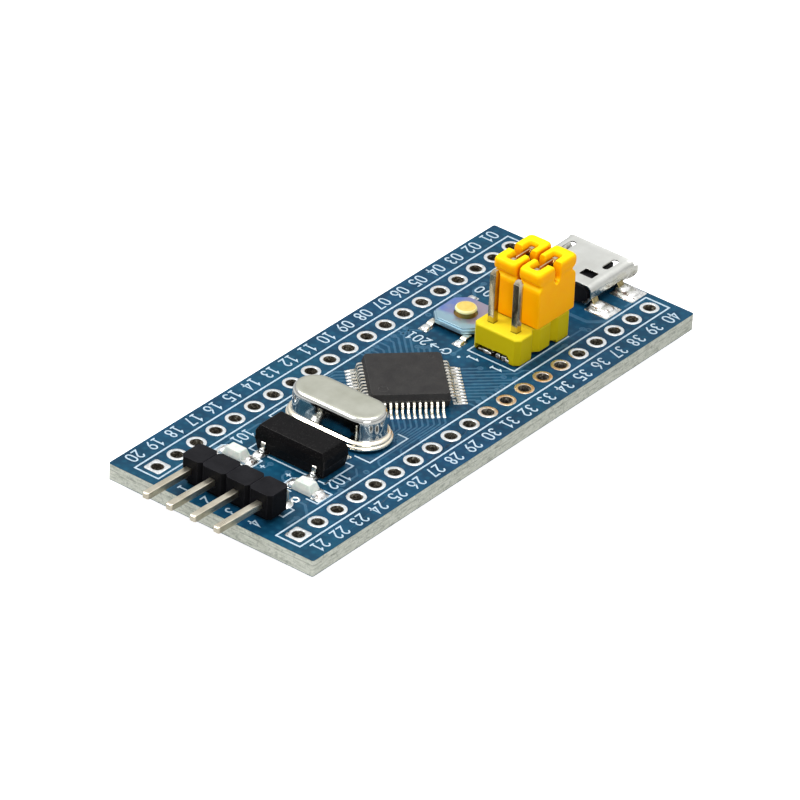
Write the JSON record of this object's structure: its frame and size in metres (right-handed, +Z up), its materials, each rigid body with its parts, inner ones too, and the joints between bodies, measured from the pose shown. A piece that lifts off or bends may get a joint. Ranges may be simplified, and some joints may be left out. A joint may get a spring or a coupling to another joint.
{
  "type": "microcontroller dev board",
  "caption": "Two-row microcontroller dev board with USB socket, reset button, crystals, LEDs, debug header and boot header with pull-off jumper caps.",
  "frame": {"origin": "centre of the 2 x 20 hole grid, on the underside of the board", "axes": "+X across the board towards the row beside the boot header, +Y towards the USB socket, +Z up out of the component side"},
  "size_m": [0.022, 0.0569, 0.011],
  "materials": {
    "solder_mask": "blue solder mask over glass-fibre laminate, semi-gloss, pale print on top",
    "mould_compound": "dark grey epoxy mould compound, fine matt grain",
    "tinned_metal": "tin plate, bright with soft streaks",
    "can_steel": "drawn can, satin on top and mirror bright on its sides",
    "seal_glass": "dark seal glass",
    "quartz": "clear quartz with a silver electrode",
    "black_plastic": "black moulded plastic",
    "white_ceramic": "white LED substrate with tinned ends",
    "led_lens": "clear, slightly green resin",
    "dome_steel": "spring steel",
    "cover_steel": "satin stamped steel, faint blue and violet tint",
    "plunger_cream": "cream yellow moulded plastic",
    "header_yellow": "olive to lemon yellow moulded plastic",
    "jumper_orange": "orange yellow moulded plastic, soft gloss",
    "clip_bronze": "phosphor bronze strip",
    "usb_shell": "satin stamped steel shell",
    "contact_gold": "gold-flashed contact",
    "capacitor_tan": "tan ceramic block with tinned ends",
    "resistor_black": "black glazed chip with tinned ends"
  },
  "bodies": {
    "board": {"pcb": "solder_mask", "mcu_package": "mould_compound", "mcu_lead_frame": "tinned_metal", "hc49_can": "can_steel", "hc49_base": "can_steel", "hc49_glass_seal_1": "seal_glass", "hc49_lead_1": "tinned_metal", "hc49_glass_seal_2": "seal_glass", "hc49_lead_2": "tinned_metal", "hc49_quartz_blank": "quartz", "clock_crystal_body": "black_plastic", "clock_crystal_lead_1": "tinned_metal", "clock_crystal_lead_2": "tinned_metal", "clock_crystal_lead_3": "tinned_metal", "clock_crystal_lead_4": "tinned_metal", "status_led_base": "white_ceramic", "status_led_lens": "led_lens", "power_led_base": "white_ceramic", "power_led_lens": "led_lens", "reset_base": "black_plastic", "reset_contact_front": "tinned_metal", "reset_contact_back": "tinned_metal", "reset_dome": "dome_steel", "reset_cover": "cover_steel", "boot_header_body": "header_yellow", "boot_pin_1": "tinned_metal", "boot_pin_2": "tinned_metal", "boot_pin_3": "tinned_metal", "boot_pin_4": "tinned_metal", "boot_pin_5": "tinned_metal", "boot_pin_6": "tinned_metal", "debug_header_body": "black_plastic", "debug_pin_1": "tinned_metal", "debug_pin_2": "tinned_metal", "debug_pin_3": "tinned_metal", "debug_pin_4": "tinned_metal", "usb_shell": "usb_shell", "usb_insulator": "black_plastic", "usb_contact_1": "contact_gold", "usb_contact_2": "contact_gold", "usb_contact_3": "contact_gold", "usb_contact_4": "contact_gold", "usb_contact_5": "contact_gold", "regulator_body": "mould_compound", "regulator_lead_frame": "tinned_metal", "capacitor_1": "capacitor_tan", "capacitor_2": "capacitor_tan", "capacitor_3": "capacitor_tan", "capacitor_4": "capacitor_tan", "capacitor_5": "capacitor_tan", "capacitor_6": "capacitor_tan", "resistor_1": "resistor_black", "resistor_2": "resistor_black", "resistor_3": "resistor_black", "resistor_4": "resistor_black"},
    "reset_button": {"reset_plunger": "plunger_cream"},
    "jumper_1": {"jumper_cap_1": "jumper_orange", "jumper_clip_1": "clip_bronze"},
    "jumper_2": {"jumper_cap_2": "jumper_orange", "jumper_clip_2": "clip_bronze"}
  },
  "joints": [
    {"name": "reset_button_press", "type": "slide", "parent": "board", "child": "reset_button", "axis": [0, 0, -1], "range_m": [0, 0.0002], "stiffness_N_per_m": 8000, "deforming": ["reset_dome"]},
    {"name": "jumper_1_lift", "type": "slide", "parent": "board", "child": "jumper_1", "axis": [0, 0, 1], "range_m": [0, 0.006]},
    {"name": "jumper_2_lift", "type": "slide", "parent": "board", "child": "jumper_2", "axis": [0, 0, 1], "range_m": [0, 0.006]}
  ]
}
